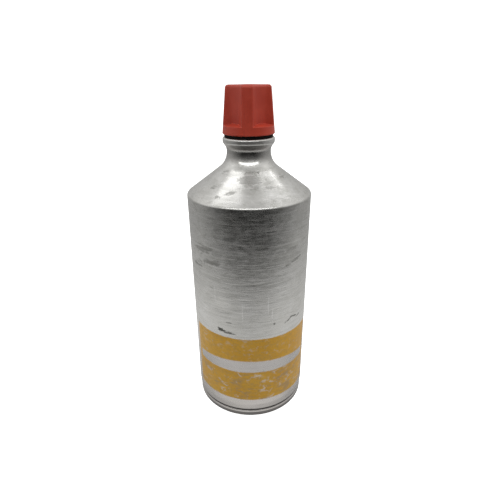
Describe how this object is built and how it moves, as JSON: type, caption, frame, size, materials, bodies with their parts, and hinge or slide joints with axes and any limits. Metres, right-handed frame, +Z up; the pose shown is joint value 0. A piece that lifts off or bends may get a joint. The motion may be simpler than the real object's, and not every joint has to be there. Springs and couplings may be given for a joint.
{
  "type": "camping fuel bottle",
  "caption": "Aluminium fuel bottle with a conical shoulder, a rolled neck bead and a red screw stopper with finger scoops that seals on a rubber washer.",
  "frame": {"origin": "centre of the ring that the bottle stands on, on the bottle's axis", "axes": "+Z up along the bottle's axis to the stopper; -Y faces the front, where the print is centred"},
  "size_m": [0.074, 0.074, 0.2039],
  "materials": {
    "shell_aluminium": "worn satin, brushed round the body, with a faded amber print on the front",
    "insert_aluminium": "bright turned",
    "washer_rubber": "matt black",
    "stopper_plastic": "moulded brick red, lightly worn"
  },
  "bodies": {
    "bottle": {"bottle_shell": "shell_aluminium", "neck_insert": "insert_aluminium"},
    "washer": {"washer": "washer_rubber"},
    "stopper": {"stopper": "stopper_plastic"}
  },
  "joints": [
    {"name": "stopper_lift", "type": "slide", "parent": "bottle", "child": "washer", "axis": [0, 0, 1], "range_m": [0, 0.015]},
    {"name": "stopper_turn", "type": "hinge", "parent": "washer", "child": "stopper", "pos_m": [0, 0, 0.1783], "axis": [0, 0, 1], "range_deg": [0, 1800]}
  ],
  "couplings": [
    {"joint": "stopper_lift", "follows": "stopper_turn", "m_per_rad": 0.00047746}
  ]
}
